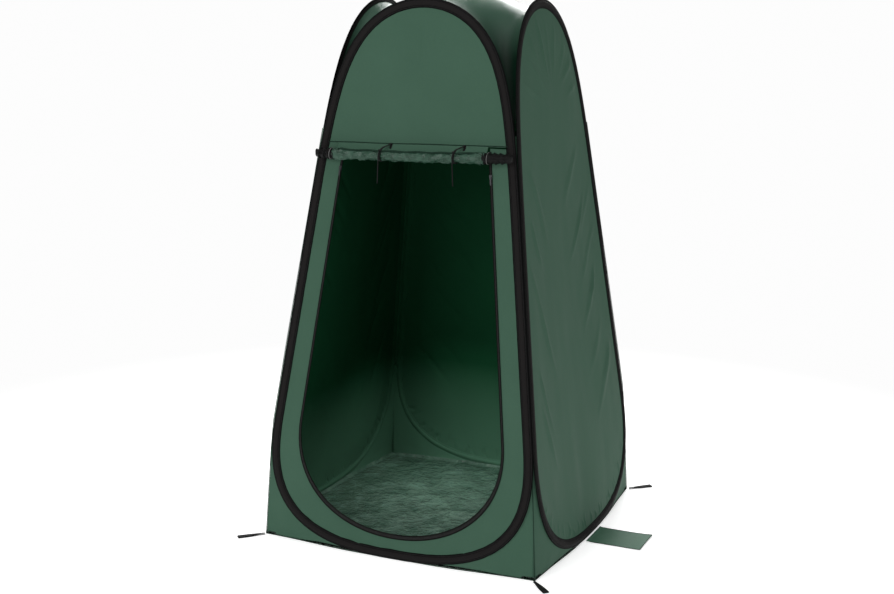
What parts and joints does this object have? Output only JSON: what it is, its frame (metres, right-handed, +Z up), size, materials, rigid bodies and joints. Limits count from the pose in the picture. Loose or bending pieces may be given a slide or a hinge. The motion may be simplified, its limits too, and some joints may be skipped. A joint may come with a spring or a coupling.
{
  "type": "privacy shower tent",
  "caption": "Tall square pop-up privacy tent: sprung wire hoops in leaning fabric walls, saddle roof, floor, and an arched doorway with its door rolled up under a seam.",
  "frame": {"origin": "middle of the floor's underside, on the ground", "axes": "+Z up, -Y out of the doorway, +X to the right seen from in front"},
  "size_m": [1.505, 1.348, 2.1172],
  "materials": {
    "cloth": "dark green coated polyester taffeta, slight satin sheen",
    "door_cloth": "dark green coated polyester taffeta, rolled and creased",
    "floor_cloth": "green laminated polyethylene ground sheet, finely crinkled",
    "binding": "black woven polyester binding, stitched",
    "webbing": "black woven webbing",
    "zip": "black zip tape with a dark nylon coil",
    "steel": "drawn spring steel",
    "black_metal": "black enamelled zinc"
  },
  "bodies": {
    "front_panel": {"front_hoop_wire": "steel", "front_hoop_ferrule": "steel", "front_hoop_sleeve": "binding", "front_gusset_left": "cloth", "front_gusset_right": "cloth", "front_header": "cloth", "door_surround": "cloth", "door_zip_tape": "zip", "door_roll": "door_cloth", "roll_end_left": "zip", "roll_end_right": "zip", "door_tie_left": "webbing", "door_tie_right": "webbing", "tie_knot_left": "webbing", "tie_knot_right": "webbing", "tie_tail_left": "webbing", "tie_tail_right": "webbing", "roof": "cloth", "floor": "floor_cloth"},
    "right_panel": {"right_hoop_wire": "steel", "right_hoop_ferrule": "steel", "right_hoop_sleeve": "binding", "right_gusset_left": "cloth", "right_gusset_right": "cloth", "right_wall": "cloth"},
    "rear_panel": {"rear_hoop_wire": "steel", "rear_hoop_ferrule": "steel", "rear_hoop_sleeve": "binding", "rear_gusset_left": "cloth", "rear_gusset_right": "cloth", "rear_wall": "cloth"},
    "left_panel": {"left_hoop_wire": "steel", "left_hoop_ferrule": "steel", "left_hoop_sleeve": "binding", "left_gusset_left": "cloth", "left_gusset_right": "cloth", "left_wall": "cloth"},
    "zip_slider_left": {"zip_slider_left": "black_metal"},
    "zip_pull_left": {"zip_pull_left": "black_metal"},
    "zip_slider_right": {"zip_slider_right": "black_metal"},
    "zip_pull_right": {"zip_pull_right": "black_metal"},
    "stake_loop_front_left": {"stake_loop_front_left": "webbing"},
    "stake_loop_front_right": {"stake_loop_front_right": "webbing"},
    "stake_loop_rear_right": {"stake_loop_rear_right": "webbing"},
    "stake_loop_rear_left": {"stake_loop_rear_left": "webbing"},
    "ground_flap": {"ground_flap": "cloth"}
  },
  "joints": [
    {"name": "fold_front_right", "type": "hinge", "parent": "front_panel", "child": "right_panel", "pos_m": [0.6, -0.6, 0], "axis": [-0.1261, 0.1261, 0.984], "range_deg": [0, 84], "stiffness_Nm_per_rad": 8, "deforming": ["roof", "floor"]},
    {"name": "fold_front_left", "type": "hinge", "parent": "front_panel", "child": "left_panel", "pos_m": [-0.611, -0.611, 0], "axis": [0.1283, 0.1283, 0.9834], "range_deg": [0, 83.2]},
    {"name": "fold_right_rear", "type": "hinge", "parent": "right_panel", "child": "rear_panel", "pos_m": [0.611, 0.611, 0], "axis": [-0.1283, -0.1283, 0.9834], "range_deg": [-83.2, 0]},
    {"name": "zip_travel_left", "type": "slide", "parent": "front_panel", "child": "zip_slider_left", "axis": [-0.1142, -0.1262, -0.9854], "range_m": [0, 0.75]},
    {"name": "zip_pull_swing_left", "type": "hinge", "parent": "zip_slider_left", "child": "zip_pull_left", "pos_m": [-0.31172, -0.42731, 1.47398], "axis": [-0.9935, 0.0145, 0.1133], "range_deg": [0, 150]},
    {"name": "zip_travel_right", "type": "slide", "parent": "front_panel", "child": "zip_slider_right", "axis": [0.1142, -0.1262, -0.9854], "range_m": [0, 0.75]},
    {"name": "zip_pull_swing_right", "type": "hinge", "parent": "zip_slider_right", "child": "zip_pull_right", "pos_m": [0.31172, -0.42731, 1.47398], "axis": [-0.9935, -0.0145, -0.1133], "range_deg": [0, 150]},
    {"name": "loop_turn_front_left", "type": "hinge", "parent": "front_panel", "child": "stake_loop_front_left", "pos_m": [-0.575, -0.587, 0.0017], "axis": [-0.7071, 0.7071, 0], "range_deg": [0, 90]},
    {"name": "loop_turn_front_right", "type": "hinge", "parent": "front_panel", "child": "stake_loop_front_right", "pos_m": [0.575, -0.587, 0.0017], "axis": [-0.7071, -0.7071, 0], "range_deg": [0, 90]},
    {"name": "loop_turn_rear_right", "type": "hinge", "parent": "right_panel", "child": "stake_loop_rear_right", "pos_m": [0.587, 0.575, 0.0017], "axis": [0.7071, -0.7071, 0], "range_deg": [0, 90]},
    {"name": "loop_turn_rear_left", "type": "hinge", "parent": "rear_panel", "child": "stake_loop_rear_left", "pos_m": [-0.575, 0.587, 0.0017], "axis": [0.7071, 0.7071, 0], "range_deg": [0, 90]},
    {"name": "flap_turn", "type": "hinge", "parent": "right_panel", "child": "ground_flap", "pos_m": [0.6185, -0.024, 0.0016], "axis": [0, -1, 0], "range_deg": [0, 90]}
  ],
  "couplings": [
    {"joint": "fold_front_left", "follows": "fold_front_right", "ratio": 0.99},
    {"joint": "fold_right_rear", "follows": "fold_front_right", "ratio": -0.99}
  ]
}
